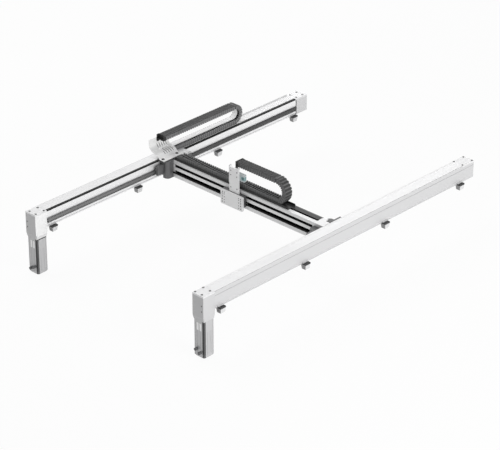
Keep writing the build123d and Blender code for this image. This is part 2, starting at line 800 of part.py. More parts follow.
def post_plate():
    x0 = cross_front - 18
    z0 = z_top - tool_top + 1
    plate = block(x0, x0 + post_thickness, post_y - post_width / 2, post_y + post_width / 2,
                  z0, z0 + post_height)
    return chamfer(plate.faces().sort_by(Axis.X)[0].edges(), 0.8)


def cable_duct():
    """Sheet channel up the back of the post, from the connector to the chain."""
    x0 = cross_front - 18 + post_thickness
    y0, y1 = post_y - 20, post_y + post_width / 2 + 12
    z0 = z_top + 28
    z1 = z_top - tool_top + 1 + post_height
    duct = block(x0, x0 + 18, y0, y1, z0, z1)
    return duct - block(x0 + 2, x0 + 18, y0 + 2, y1 - 2, z0, z1)


def chain_y_bracket():
    x0 = cross_front - 18 + post_thickness
    z_base = z_y_high - chain_y_height / 2
    y0, y1 = chain_y_moving + link_gap, chain_y_moving + 17
    arm = block(x0 + 18, chain_y_x + chain_y_width / 2, y0, y1, z_base, z_base + chain_y_height)
    arm -= block(x0 + 18, chain_y_x + chain_y_width / 2 - 3, y0 + 4, y1 - 4, z_base + 4, z_base + chain_y_height)
    arm += block(x0 + 18, x0 + 22, y0, y1, z_base - 14, z_base + chain_y_height)
    return arm


connector_depth = 18
connector_length = 50.7
connector_height = 44
connector_rise = 62        # of its lower edge above the cross-beam
connector_socket_r = 8


def signal_connector():
    """Plug housing that stands out sideways between the post and the duct."""
    x0 = cross_front - 18 + post_thickness + 2
    y1 = post_y - 20 - seat
    z0 = z_top + connector_rise
    body = block(x0, x0 + connector_depth, y1 - connector_length, y1, z0, z0 + connector_height)
    body = fillet(body.edges().filter_by(Axis.X), 3)
    return body - rod_x(x0, x0 + 6, y1 - connector_length + 12, z0 + connector_height / 2, connector_socket_r)


# Write one file per piece
save_pair("beam_profile", beam())
save("sensor_strips", sensor_strip(), across(sensor_strip()))
save("guide_rails", guide_rail(), across(guide_rail()))
save_pair("drive_housing", drive_housing())
save_pair("idler_housing", idler_housing())
lids = [lid(x_drive_end, x_profile_start), lid(x_profile_end, x_idler_end)]
save("housing_lids", *lids, *[across(item) for item in lids])
save("motor_adapters", motor_adapter(), across(motor_adapter()))
save_pair("motor", motor())
plugs = motor_connectors()
save("motor_connectors", *plugs, *[across(plug) for plug in plugs])
save_pair("drive_shaft", drive_shaft())
save("drive_bearings", *drive_bearings())
save_pair("idler_pulley", idler_pulley())
save("idler_axles", idler_axle(), across(idler_axle()))
save("belt_outer_strands", belt_outer(), across(belt_outer()))
save("belt_drive_strands", belt_drive_strand(), across(belt_drive_strand()))
save("belt_idler_strands", belt_idler_strand(), across(belt_idler_strand()))

feet = [foot(x, face, out) for x in foot_places for face, out in ((beam_inner, -1), (beam_outer, 1))]
clamps = [clamp for clamp, stand in feet]
stands = [stand for clamp, stand in feet]
save("foot_clamps", *clamps, *[across(item) for item in clamps])
save("foot_blocks", *stands, *[across(item) for item in stands])

save("chain_x_tray", chain_x_tray())
save("chain_x_lower_run", *place_x(lower_run(chain_x_fixed, chain_x_end, chain_x_width, chain_x_height), 0, z_x_low))
save("chain_x_upper_run", *place_x(chain_run(chain_x_moving, chain_x_end, chain_x_width, chain_x_height), 0, z_x_high))
save("chain_x_bend", *place_x(chain_bend(chain_x_width, chain_x_height, chain_x_bend_r),
                              chain_x_end, z_x_low + chain_x_bend_r))
save("chain_x_bracket", chain_x_bracket())

save("slide_body_a", slide_body())
save("slide_body_b", slide_b())
save("slide_lids", slide_lid_a(), slide_lid_b())
runners = runner_blocks()
save("runner_blocks", *runners, *[across(item) for item in runners])
axles = [roller_axle(roller_front_x), roller_axle(roller_rear_x)]
save("roller_axles", *axles, *[across(item) for item in axles])
for end, x in (("front", roller_front_x), ("rear", roller_rear_x)):
    save_pair(f"roller_{end}", Pos(x, roller_y, z_belt) * roller())
save("cross_beam", cross_beam())
save("cross_rail", cross_rail())
save("cover_strip", cover_strip())
save("belt_cross_rear", belt_cross_rear())
save("belt_cross_front_a", belt_cross_front(front_belt_end))
save("belt_cross_front_b", across(belt_cross_front(-back_belt_end)))
save("cable_chute", cable_chute())
save("chain_y_tray", chain_y_tray())
save("chain_y_lower_run", *place_y(lower_run(-chain_y_fixed, -chain_y_end, chain_y_width, chain_y_height), 0, z_y_low))
save("chain_y_upper_run", *place_y(chain_run(-chain_y_moving, -chain_y_end, chain_y_width, chain_y_height), 0, z_y_high))
save("chain_y_bend", *place_y(chain_bend(chain_y_width, chain_y_height, chain_y_bend_r),
                              chain_y_end, z_y_low + chain_y_bend_r))

save("tool_plate", tool_plate())
save("carriage_body", carriage_body())
save("cross_runners", *cross_runners())
save("belt_clamps", *belt_clamp())
save("post_plate", post_plate())
save("cable_duct", cable_duct())
save("chain_y_bracket", chain_y_bracket())
save("signal_connector", signal_connector())
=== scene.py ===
import bmesh
import bpy
import numpy as np
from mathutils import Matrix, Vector


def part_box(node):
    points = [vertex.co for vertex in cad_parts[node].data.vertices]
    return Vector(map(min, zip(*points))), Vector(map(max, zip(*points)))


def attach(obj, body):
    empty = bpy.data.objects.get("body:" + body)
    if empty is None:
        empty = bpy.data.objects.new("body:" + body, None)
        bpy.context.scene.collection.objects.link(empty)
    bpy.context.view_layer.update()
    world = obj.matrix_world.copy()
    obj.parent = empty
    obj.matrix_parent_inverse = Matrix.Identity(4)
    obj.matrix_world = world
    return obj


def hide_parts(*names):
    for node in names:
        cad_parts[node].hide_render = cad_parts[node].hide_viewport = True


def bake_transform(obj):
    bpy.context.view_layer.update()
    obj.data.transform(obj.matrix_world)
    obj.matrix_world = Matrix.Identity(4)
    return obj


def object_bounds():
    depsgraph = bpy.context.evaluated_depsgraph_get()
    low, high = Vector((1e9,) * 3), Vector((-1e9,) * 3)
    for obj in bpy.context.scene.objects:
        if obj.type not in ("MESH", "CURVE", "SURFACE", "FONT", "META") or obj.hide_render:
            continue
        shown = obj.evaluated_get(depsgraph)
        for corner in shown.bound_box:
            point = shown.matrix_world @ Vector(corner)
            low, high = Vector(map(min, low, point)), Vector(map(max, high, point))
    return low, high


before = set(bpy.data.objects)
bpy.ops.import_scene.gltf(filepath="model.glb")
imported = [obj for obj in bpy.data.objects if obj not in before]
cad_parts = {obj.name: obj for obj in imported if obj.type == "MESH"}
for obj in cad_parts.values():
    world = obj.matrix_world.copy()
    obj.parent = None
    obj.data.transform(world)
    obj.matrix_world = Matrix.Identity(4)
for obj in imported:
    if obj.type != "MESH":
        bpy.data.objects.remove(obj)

size_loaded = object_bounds()

# Camera: a long lens high beside the motor end of beam b, so that the parallel beams run away
# to the upper right as they do in the photograph.
camera_data = bpy.data.cameras.new("camera")
camera_data.lens = 173.2
camera_data.sensor_width = 36.0
camera_data.clip_end = 80.0
camera = bpy.data.objects.new("camera", camera_data)
camera.location = (-8.8926, -8.5305, 6.4358)
camera.rotation_mode = "QUATERNION"
camera.rotation_quaternion = Vector((0.63589, 0.61236, -0.46974)).to_track_quat("-Z", "Y")
bpy.context.scene.collection.objects.link(camera)
bpy.context.scene.camera = camera
bpy.context.scene.view_settings.view_transform = "Standard"


# Shader sums. A Socket is one output of a node; arithmetic on it adds Math nodes to its tree, and
# add() makes any other node from its type, its settings and the values or links of its sockets.
class Socket:
    def __init__(self, tree, output=None):
        self.tree = tree
        self.output = output

    def add(self, kind, settings=None, inputs=None, output=0):
        node = self.tree.nodes.new(kind)
        for name, value in (settings or {}).items():
            setattr(node, name, value)
        for name, value in (inputs or {}).items():
            if isinstance(value, Socket):
                self.tree.links.new(value.output, node.inputs[name])
            else:
                node.inputs[name].default_value = value
        return Socket(self.tree, node.outputs[output])

    def math(self, operation, *values):
        return self.add("ShaderNodeMath", {"operation": operation}, dict(enumerate(values)))

    def __add__(self, other):
        return self.math("ADD", self, other)

    def __sub__(self, other):
        return self.math("SUBTRACT", self, other)

    def __rsub__(self, other):
        return self.math("SUBTRACT", other, self)

    def __mul__(self, other):
        return self.math("MULTIPLY", self, other)

    def __lt__(self, other):
        return self.math("LESS_THAN", self, other)

    def __gt__(self, other):
        return self.math("GREATER_THAN", self, other)

    __radd__ = __add__
    __rmul__ = __mul__

    def tint(self, dark, light):
        """Colour between dark and light, with this value as the share of light."""
        dark, light = (c if isinstance(c, Socket) else (*c, 1) for c in (dark, light))
        inputs = {0: self, 6: dark, 7: light}
        return self.add("ShaderNodeMix", {"data_type": "RGBA"}, inputs, output=2)

    def place(self):
        """The three object coordinates of the point, in metres."""
        where = self.add("ShaderNodeTexCoord", output="Object")
        split = self.add("ShaderNodeSeparateXYZ", None, {"Vector": where})
        return [Socket(self.tree, output) for output in split.output.node.outputs]

    def near(self, value, reach):
        """1 where this lies within reach of value."""
        return self.math("COMPARE", self, value, reach)

    def grain(self, scale):
        """Noise on object coordinates; a small scale along one axis draws it out along that axis."""
        where = self.add("ShaderNodeTexCoord", output="Object")
        stretched = self.add("ShaderNodeMapping", None, {"Vector": where, "Scale": scale})
        return self.add("ShaderNodeTexNoise", None, {"Vector": stretched, "Scale": 1.0, "Detail": 2.0})


def finish(name, roughness, metallic=0.0, coat=0.0):
    """A material with one Principled shader. Returns it, its shader and a Socket to build on."""
    material = bpy.data.materials.new(name)
    material.use_nodes = True
    shader = material.node_tree.nodes["Principled BSDF"]
    shader.inputs["Roughness"].default_value = roughness
    shader.inputs["Metallic"].default_value = metallic
    shader.inputs["Coat Weight"].default_value = coat
    return material, shader, Socket(material.node_tree)


def feed(shader, name, value):
    """Links a value to one of a shader's sockets."""
    shader.id_data.links.new(value.output, shader.inputs[name])


def overlay(start, shader, share, other):
    """Shows another shader over the material's own one, by share."""
    surface = Socket(start.tree, shader.outputs[0])
    mixed = start.add("ShaderNodeMixShader", None, {0: share, 1: surface, 2: other})
    start.tree.links.new(mixed.output, start.tree.nodes["Material Output"].inputs["Surface"])


mark_roughness = 0.12


def metal(name, dark, light, roughness, metallic, scale):
    """Metal with fine tool or drawing marks: noise tints it between dark and light and roughens it."""
    material, shader, start = finish(name, roughness, metallic)
    marks = start.grain(scale)
    feed(shader, "Base Color", marks.tint(dark, light))
    feed(shader, "Roughness", marks * mark_roughness + (roughness - mark_roughness / 2))
    return material


def dress(material, *nodes):
    """Gives CAD nodes their finish."""
    for name in nodes:
        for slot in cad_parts[name].material_slots:
            slot.material = material


# Beams and cross-beam: drawn aluminium profiles, clear anodised. Drawing leaves faint lines along
# the length. Fine grooves run along the outer sides; dark lines of painted shade mark them and the
# top edges of those sides. Beam b's outer side is painted darker and beam a's inner side lighter,
# as the light falls. Idler housing a and beam a beyond its start are painted darker, in shade, and
# a painted shadow fills the gap that parts idler housing a from its beam. The cross-beam's slots
# are painted black with shade, and painted shadows darken strips of its top.
beam_low, beam_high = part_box("beam_profile_a")
idler_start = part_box("idler_housing_a")[0].x
edge_line = 0.0016
groove_half = edge_line * 0.7
groove_drop = 0.027
face_skin = 0.0012
inner_skin = 0.0015
seam_shadow_width = 0.008
beam_metal, beam_shader, start = finish("beam_anodised", 0.42, 0.30)
marks = start.grain((1.5, 160, 160))
x, y, z = start.place()
# Painted shade: dark lines along the top edge and the fine groove of each outer side.
outer_side = y.math("ABSOLUTE", y) > beam_high.y - face_skin
groove_shade = (z > beam_high.z - edge_line) + z.near(beam_high.z - groove_drop, groove_half)
beam_tint = marks.tint((0.72, 0.72, 0.725), (0.80, 0.80, 0.805))
# Painted shade: beam b's outer side is darker, as the light falls.
beam_tint = (y < face_skin - beam_high.y).tint(beam_tint, (0.60, 0.60, 0.605))
# Painted light: beam a's inner side is lighter, as the light falls.
inner_side_a = (y > 0) * (y < beam_low.y + inner_skin)
beam_tint = inner_side_a.tint(beam_tint, (0.86, 0.86, 0.865))
# Painted shade: idler housing a and beam a beyond its start are darker, and a painted shadow fills the gap
# between that housing and its beam.
beam_tint = ((y > 0) * (x > idler_start)).tint(beam_tint, (0.62, 0.62, 0.625))
seam_shadow = inner_side_a * (x > idler_start) * (x < idler_start + seam_shadow_width)
beam_tint = seam_shadow.tint(beam_tint, (0.05, 0.05, 0.05))
feed(beam_shader, "Base Color", (outer_side * groove_shade).tint(beam_tint, (0.34, 0.34, 0.345)))
dress(beam_metal, "beam_profile_a", "beam_profile_b", "idler_housing_a", "idler_housing_b")
cross_low, cross_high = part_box("cross_beam")
cavity_level, cavity_half = 0.090, 0.0396
cavity_back = 0.0435
tray_shadow = (-0.0655, 0.0070)
rear_shadow_width = 0.0115
rear_shadow_share = 0.75
top_skin = 0.0008
cross_metal, cross_shader, start = finish("cross_anodised", 0.42, 0.30)
marks = start.grain((160, 1.5, 160))
x, _, z = start.place()
# Painted shade: the slot inside the cross-beam's front is shown black, and painted shadows darken a strip of
# its top and a strip along its rear edge.
slot_shade = (x > cross_low.x + face_skin) * (x < cross_low.x + cavity_back)
slot_shade = slot_shade * z.near(cavity_level, cavity_half)
top_shadow = x.near(*tray_shadow) + (x > cross_high.x - rear_shadow_width) * rear_shadow_share
top_shadow = top_shadow * (z > cross_high.z - top_skin)
feed(cross_shader, "Base Color", marks.tint((0.70, 0.70, 0.705), (0.78, 0.78, 0.785)))
shade_share = start.math("MINIMUM", slot_shade + top_shadow, 1.0)
shade = start.add("ShaderNodeBsdfDiffuse", None, {"Color": (0.005, 0.005, 0.005, 1)})
overlay(start, cross_shader, shade_share, shade)
dress(cross_metal, "cross_beam")


# Sensor strips: black plastic extrusions pressed into the rabbet along each beam's inner top edge,
# made near black also to stand for the shade in the slot there. The top of beam b's strip is
# painted pale, as lit.
strip_plastic, strip_shader, start = finish("strip_plastic", 0.5)
strip_shader.inputs["Specular IOR Level"].default_value = 0.2
strip_tint = start.grain((3, 300, 300)).tint((0.003, 0.003, 0.003), (0.009, 0.009, 0.009))
lit_top_depth = 0.0004
_, y, z = start.place()
# Painted light: the top of beam b's strip is pale, as lit.
lit_strip_top = (y < 0) * (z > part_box("sensor_strips")[1].z - lit_top_depth)
feed(strip_shader, "Base Color", lit_strip_top.tint(strip_tint, (0.95, 0.95, 0.95)))
dress(strip_plastic, "sensor_strips")


# Guide rails: ground steel bars screwed into the beams' and the cross-beam's recesses. Those of
# the beams are painted in shade that deepens towards the idler end; the cross-beam's rail is
# painted near black, as the shade in its slot.
rail_steel, rail_shader, start = finish("rail_ground", 0.4, 0.2)
darkening_per_metre = 1.2
darkening_at_origin = 0.75
# Painted shade along the beams' rails, deepening towards the idler end.
rail_shade = start.place()[0] * darkening_per_metre + darkening_at_origin
rail_tint = rail_shade.tint((0.21, 0.21, 0.212), (0.030, 0.030, 0.031))
rail_marks = start.grain((2, 220, 220)) * 0.5
feed(rail_shader, "Base Color", rail_marks.tint(rail_tint, (0.10, 0.10, 0.101)))
# Painted shade: the cross-beam's rail is near black, as the shade in its slot.
cross_rail_steel, cross_rail_shader, start = finish("rail_cross", 0.6)
cross_rail_shader.inputs["Specular IOR Level"].default_value = 0.05
cross_rail_shade = start.grain((220, 2, 220)).tint((0.006, 0.006, 0.006), (0.014, 0.014, 0.014))
feed(cross_rail_shader, "Base Color", cross_rail_shade)
dress(rail_steel, "guide_rails")
dress(cross_rail_steel, "cross_rail")


# End housings: milled aluminium blocks on the beams' ends, fine-blasted and clear anodised, each
# closed by a bevelled plate. Light and shade are painted on them: the housing on beam a is lighter
# than that on beam b, housing a's inner face is bright, and the end faces and the lower end beside
# them are darker.
housing_metal, housing_shader, start = finish("housing_blasted", 0.5, 0.30)
housing_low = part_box("drive_housing_a")[0]
housing_skin = 0.0008
skirt_top = 0.006
skirt_reach = 0.009
x, y, z = start.place()
# Painted light and shade: housing a lighter than housing b, housing a's inner face bright, end faces and the
# lower end beside them darker.
housing_tint = (y > 0).tint((0.57, 0.57, 0.575), (0.78, 0.78, 0.785))
bright = (y > 0) * (y < housing_low.y + housing_skin)
housing_tint = bright.tint(housing_tint, (0.97, 0.97, 0.97))
shaded_skirt = (z < skirt_top) * (x < housing_low.x + skirt_reach)
shaded_end = (x < housing_low.x + housing_skin) + shaded_skirt
housing_tint = shaded_end.tint(housing_tint, (0.48, 0.48, 0.485))
housing_marks = start.grain((900, 900, 900)) * 0.5
feed(housing_shader, "Base Color", housing_marks.tint(housing_tint, (0.62, 0.62, 0.625)))
lid_metal = metal("lid_blasted", (0.70, 0.70, 0.705), (0.78, 0.78, 0.785), 0.45, 0.30,
                  (900, 900, 900))
dress(housing_metal, "drive_housing_a", "drive_housing_b")
dress(lid_metal, "housing_lids")


# Lid screws: black-oxide socket screws, four in each end housing's plate, and two in the face of
# each drive housing. Their heads sit almost flush.
screw_black, screw_shader, start = finish("screw_black_oxide", 0.4, 0.5)
screw_shader.inputs["Specular IOR Level"].default_value = 0.2
screw_tint = start.grain((700, 700, 700)).tint((0.006, 0.006, 0.006), (0.020, 0.020, 0.020))
feed(screw_shader, "Base Color", screw_tint)
head_radius = 0.0068
head_rise = 0.0012
face_head_radius = head_radius * 0.6
face_head_sink = head_rise * 0.5
lid_insets = {"drive_housing_a": (0.014, 0.014, 0.009, 0.020),
              "drive_housing_b": (0.014, 0.014, 0.007, 0.023),
              "idler_housing_a": (0.018, 0.027, 0.013, 0.018),
              "idler_housing_b": (0.008, 0.008, 0.008, 0.008)}
face_screw_inset = 0.0125
face_screw_drops = (0.061, 0.095)


def ring_faces(stations, ring):
    """Quads between neighbouring rings of points, and quads across the first and the last ring."""
    row = np.arange(stations - 1)[:, None] * ring
    here = np.arange(ring)[None, :]
    after = (here + 1) % ring
    sides = np.stack([row + here, row + after, row + ring + after, row + ring + here], axis=-1)
    k = np.arange(ring // 2 - 1)
    cap = np.stack([k, k + 1, ring - 2 - k, ring - 1 - k], axis=-1)
    return np.concatenate([sides.reshape(-1, 4), cap[:, ::-1], cap + (stations - 1) * ring])


def repeated(points, faces, places, turns=None):
    """The same shape at each place: points times each turn matrix, plus the place."""
    turned = points[None] if turns is None else np.einsum("nij,mj->nmi", turns, points)
    cloud = turned + np.asarray(places, float)[:, None, :]
    offsets = np.arange(len(places))[:, None, None] * len(points)
    return cloud.reshape(-1, 3), (faces[None] + offsets).reshape(-1, 4)


def add_piece(name, points, faces, material, slot, smooth=False):
    """A mesh object from points and quads, with its faces turned outwards."""
    mesh = bpy.data.meshes.new(name)
    mesh.from_pydata(points.tolist(), [], faces.tolist())
    shell = bmesh.new()
    shell.from_mesh(mesh)
    bmesh.ops.recalc_face_normals(shell, faces=shell.faces)
    shell.to_mesh(mesh)
    shell.free()
    mesh.polygons.foreach_set("use_smooth", np.full(len(mesh.polygons), smooth))
    mesh.materials.append(material)
    obj = bpy.data.objects.new(name, mesh)
    bpy.context.scene.collection.objects.link(obj)
    return obj


def turned_shape(profile, sides, axis="z"):
    """Points of a turned part: each (radius, height) of the profile goes round the axis."""
    radius, height = np.array(profile, float).T
    angle = np.arange(sides) * 2 * np.pi / sides
    round_x = radius[:, None] * np.cos(angle)
    round_y = radius[:, None] * np.sin(angle)
    along = np.broadcast_to(height[:, None], round_x.shape)
    order = {"z": (round_x, round_y, along), "x": (along, round_x, round_y)}[axis]
    return np.stack(order, axis=-1).reshape(-1, 3)


head_sides = 12
head_flat, key_top, key_bottom = 0.86, 0.5, 0.42


def socket_head(radius, rise, axis="z"):
    """Cap screw head: a bevelled disc with a recess for the key, closed at the bottom."""
    profile = [(radius, -rise), (radius, rise * 0.5), (radius * head_flat, rise),
               (radius * key_top, rise), (radius * key_bottom, -rise * 0.5)]
    return turned_shape(profile, head_sides, axis), ring_faces(len(profile), head_sides)


def screw_heads(name, radius, rise, axis, places):
    """One piece with a socket head at each place."""
    return add_piece(name, *repeated(*socket_head(radius, rise, axis), places), screw_black, "clamp")


lid_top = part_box("housing_lids")[1].z
lid_places = []
face_places = []
for housing, (first, last, inner, outer) in lid_insets.items():
    low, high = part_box(housing)
    side = 1 if housing.endswith("_a") else -1
    inner_y, outer_y = (low.y, high.y) if side > 0 else (high.y, low.y)
    for x in (low.x + first, high.x - last):
        lid_places += [(x, inner_y + side * inner, lid_top), (x, outer_y - side * outer, lid_top)]
    if housing.startswith("drive"):
        face_places += [(low.x, outer_y - side * face_screw_inset, lid_top - drop)
                        for drop in face_screw_drops]
lid_screws = screw_heads("lid_screws", head_radius, head_rise, "z", lid_places)
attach(lid_screws, "base")
face_screws = screw_heads("face_screws", face_head_radius, -face_head_sink, "x", face_places)
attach(face_screws, "base")


# Motors: servo motors with an extruded aluminium body and a flanged coupling housing with two
# windows above it. One corner shows its tie rod in a recess painted in shade; grooved aluminium
# columns fill the other three corners. A band of painted shadow lies on each coupling housing's
# inner side, under the drive housing.
motor_x = (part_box("motor_a")[0].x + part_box("motor_a")[1].x) / 2
motor_y = (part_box("motor_a")[0].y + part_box("motor_a")[1].y) / 2
motor_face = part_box("motor_adapters")[0].x
adapter_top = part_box("motor_adapters")[1].z
motor_roughness = 0.45
corner_reach = 0.0252
rod_depth = (0.004, 0.008)
window_depth = (0.0006, 0.0025)
window_drop = 0.0155
window_reach = 0.0176
overhang_shadow_height = 0.0061
overhang_shadow_reach = 0.0344


def motor_finish(name, dark, light, windows=False):
    """Grooved metal with painted shade in the corner recess beside the plugs, a little lighter on the
    tie rod; on the coupling housings also two light window covers and a band of painted shadow under
    the drive housing."""
    material, shader, start = finish(name, motor_roughness, 0.35)
    marks = start.grain((320, 320, 6))
    x, y, z = start.place()
    colour = marks.tint(dark, light)
    if windows:
        across = y.math("ABSOLUTE", y)
        cover = (x > motor_face + window_depth[0]) * (x < motor_face + window_depth[1])
        cover = cover * (z < adapter_top - window_drop) * across.near(motor_y, window_reach)
        colour = cover.tint(colour, (0.90, 0.90, 0.90))
        # Painted shadow: a dark band on the inner side just under the drive housing's overhang.
        overhang_shadow = (z > adapter_top - overhang_shadow_height) * (across < motor_y - overhang_shadow_reach)
        colour = overhang_shadow.tint(colour, (0.015, 0.015, 0.015))
    # Painted shade in the corner recess, a little lighter on the tie rod.
    beside = (y < -motor_y - corner_reach) + (y > 0) * (y < motor_y - corner_reach)
    corner = (x < motor_x - corner_reach) * beside
    rod_near, rod_far = (motor_x - corner_reach - depth for depth in rod_depth)
    rod = (x < rod_near) * (x > rod_far)
    recess_shade = rod.tint((0.045, 0.045, 0.046), (0.15, 0.15, 0.152))
    feed(shader, "Base Color", corner.tint(colour, recess_shade))
    feed(shader, "Roughness", marks * mark_roughness + (motor_roughness - mark_roughness / 2))
    return material


motor_metal = motor_finish("motor_extruded", (0.44, 0.44, 0.445), (0.58, 0.58, 0.585))
adapter_metal = motor_finish("adapter_milled", (0.48, 0.48, 0.485), (0.56, 0.56, 0.565), True)
dress(motor_metal, "motor_a", "motor_b")
dress(adapter_metal, "motor_adapters")
corner_size = 0.0122
corner_bevel = 0.003
corner_lines = (0.0095, 0.0083, 0.0062, 0.0050)
corner_inner = corner_size * 0.9
line_depth = 0.0006
motor_bevel = 0.008


def corner_column(low, high):
    """Square column: its two outer sides have fine grooves and meet in a bevelled edge."""
    depths = (0, line_depth, line_depth, 0) * 2
    lines = list(zip(np.repeat(corner_lines, 2), depths))
    half = np.array([(corner_size, corner_inner), (corner_size, 0), *lines, (corner_bevel, 0)])
    section = np.concatenate([half, half[::-1, ::-1]])
    rows = [np.column_stack([section, np.full(len(section), z)]) for z in (low, high)]
    return np.concatenate(rows), ring_faces(2, len(section))


motor_low, motor_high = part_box("motor_b")
motor_half = motor_high.x - motor_x
corner_places = []
corner_turns = []
for side_y in (-motor_y, motor_y):
    for to_x, to_y in ((-1, 1), (1, -1), (1, 1)):
        corner_places.append((motor_x + to_x * motor_half, side_y + to_y * motor_half, 0))
        corner_turns.append(np.diag((-to_x, -to_y, 1.0)))
column = corner_column(motor_low.z + motor_bevel, adapter_top)
motor_corners = add_piece("motor_corners", *repeated(*column, corner_places, np.array(corner_turns)),
                          adapter_metal, "motor")
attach(motor_corners, "base")
plug_plastic, plug_shader, start = finish("plug_plastic", 0.45)
plug_black = start.grain((400, 400, 400)).tint((0.075, 0.075, 0.078), (0.115, 0.115, 0.118))
feed(plug_shader, "Base Color", plug_black)
dress(plug_plastic, "motor_connectors")


# Shafts, pulleys, rollers, axles and bearings: turned steel parts inside the housings and slides.
# The belt runs round the pulleys and rollers.
turned_steel = metal("turned_steel", (0.42, 0.42, 0.425), (0.52, 0.52, 0.525), 0.3, 0.7,
                     (40, 40, 900))
dress(turned_steel, "drive_shaft_a", "drive_shaft_b", "idler_pulley_a", "idler_pulley_b", "idler_axles",
      "drive_bearings", "roller_axles", "roller_front_a", "roller_front_b", "roller_rear_a", "roller_rear_b")


# Toothed belt: black polyurethane with steel cords, moulded teeth on its inner side. The strands
# whose length changes with a slide are toothed; the others are plain bands.
belt_rubber, belt_shader, start = finish("belt_polyurethane", 0.7)
belt_shader.inputs["Specular IOR Level"].default_value = 0.05
belt_tint = start.grain((500, 500, 500)).tint((0.010, 0.010, 0.010), (0.022, 0.022, 0.022))
feed(belt_shader, "Base Color", belt_tint)
dress(belt_rubber, "belt_outer_strands", "belt_cross_rear")
tooth_pitch = 0.005
tooth_depth = 0.0012
belt_thickness = 0.0024


def belt_strand(start_point, end_point, inward, width):
    """Toothed strip along a line: every half pitch its inner face steps in or out by a tooth."""
    start_point, end_point, inward = np.array(start_point), np.array(end_point), np.array(inward)
    count = int(np.linalg.norm(end_point - start_point) / tooth_pitch) * 2
    step = np.repeat(np.arange(count + 1), 2)[1:-1]
    share = step / count
    tooth = (np.arange(len(step)) // 2 % 2) * tooth_depth
    centre = start_point + share[:, None] * (end_point - start_point)
    inner = centre + inward * (belt_thickness / 2 - tooth_depth + tooth)[:, None]
    outer = centre - inward * belt_thickness / 2
    up = np.array((0, 0, width / 2))
    points = np.stack([outer - up, outer + up, inner + up, inner - up], axis=1)
    return points.reshape(-1, 3), ring_faces(len(step), 4)


def side_strand(stem, suffix, side):
    """One beam's strand between an end pulley and a slide, as long as the solid strand."""
    node = f"{stem}_strands"
    low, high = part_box(node)
    y = side * (high.y - belt_thickness / 2)
    z = (low.z + high.z) / 2
    ends = ((low.x, y, z), (high.x, y, z))
    shape = belt_strand(*ends, (0, side, 0), high.z - low.z)
    strand = add_piece(f"{stem}_{suffix}", *shape, belt_rubber, "belt")
    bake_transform(strand)
    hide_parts(node)


for stem in ("belt_drive", "belt_idler"):
    side_strand(stem, "a", 1)
    side_strand(stem, "b", -1)
for suffix, side in (("a", 1), ("b", -1)):
    node = f"belt_cross_front_{suffix}"
    low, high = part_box(node)
    clamped, turned = (low.y, high.y) if side > 0 else (high.y, low.y)
    x = low.x + belt_thickness / 2
    z = (low.z + high.z) / 2
    shape = belt_strand((x, turned, z), (x, clamped, z), (1, 0, 0), high.z - low.z)
    strand = add_piece(f"{node}_strand", *shape, belt_rubber, "belt")
    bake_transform(strand)
    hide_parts(node)


# Feet: black-oxide steel clamps that hook into the beams' lower grooves, near black also to stand
# for the beams' shadow on them, with their upper lip painted light, as lit. Each sits on a light
# tapered block of cast metal whose -X face is painted in shade.
clamp_black, clamp_shader, start = finish("clamp_black_oxide", 0.45, 0.3)
clamp_tint = start.grain((500, 500, 500)).tint((0.022, 0.022, 0.023), (0.050, 0.050, 0.051))
clamp_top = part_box("foot_clamps")[1].z
lip_height = 0.0062
# Painted light: the clamps' upper lip is light, lit like the beam; the near black below it stands partly for
# the beam's shadow.
lit_lip = start.place()[2] > clamp_top - lip_height
feed(clamp_shader, "Base Color", lit_lip.tint(clamp_tint, (0.62, 0.62, 0.625)))
dress(clamp_black, "foot_clamps", "belt_clamps")
foot_metal, foot_shader, start = finish("foot_cast", 0.5, 0.2)
block_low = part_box("foot_blocks")[0]
foot_tint = start.grain((500, 500, 500)).tint((0.60, 0.60, 0.605), (0.72, 0.72, 0.725))
block_slope = 0.1228
block_base_half = 0.0156
block_end = 0.030
foot_rows = (-0.9975, -0.3325, 0.3325, 0.9975)
x, _, z = start.place()
block_reach = (z - block_low.z) * block_slope + block_base_half
shaded = 0
for foot_x in foot_rows:
    offset = x - foot_x
    shaded = shaded + (offset < block_reach * -1.0) * (offset > -block_end)
feed(foot_shader, "Base Color", shaded.tint(foot_tint, (0.30, 0.30, 0.302)))
dress(foot_metal, "foot_blocks")


# Slides: dark anodised housings round the deflection rollers, with long wings on runner blocks of
# ground steel. On beam a's half, they and the carriage body are painted lighter, as lit. A dark
# plate closes slide a, and a light cap joins the cross-beam to slide b.
slide_dark, slide_shader, start = finish("slide_dark_anodised", 0.42, 0.3)
slide_tint = start.grain((600, 600, 600)).tint((0.070, 0.070, 0.072), (0.105, 0.105, 0.108))
light_from_y, light_from_z = 0.55, 0.118
behind_cross = cross_high.x + 0.001
x, y, z = start.place()
# Painted light: the parts on beam a's half are lighter, as lit.
slide_tint = (y > 0).tint(slide_tint, (0.135, 0.135, 0.138))
slide_light = (y > light_from_y) * (x > behind_cross) * (z > light_from_z)
feed(slide_shader, "Base Color", slide_light.tint(slide_tint, (0.70, 0.70, 0.705)))
plate_dark, plate_shader, start = finish("plate_anodised_pair", 0.4, 0.3)
plate_tint = start.grain((600, 600, 600)).tint((0.095, 0.095, 0.098), (0.135, 0.135, 0.138))
rear_step_x, rear_step_y = -0.042, -0.596
x, y, _ = start.place()
plate_light = (y < 0) + (x > behind_cross)
plate_tint = plate_light.tint(plate_tint, (0.74, 0.74, 0.745))
rear_step = (x > rear_step_x) * (y < rear_step_y)
feed(plate_shader, "Base Color", rear_step.tint(plate_tint, (0.045, 0.045, 0.046)))
runner_steel = metal("runner_ground", (0.20, 0.20, 0.202), (0.28, 0.28, 0.282), 0.35, 0.5,
                     (300, 300, 300))
dress(slide_dark, "slide_body_a", "slide_body_b", "carriage_body")
dress(plate_dark, "slide_lids")
dress(runner_steel, "runner_blocks", "cross_runners")


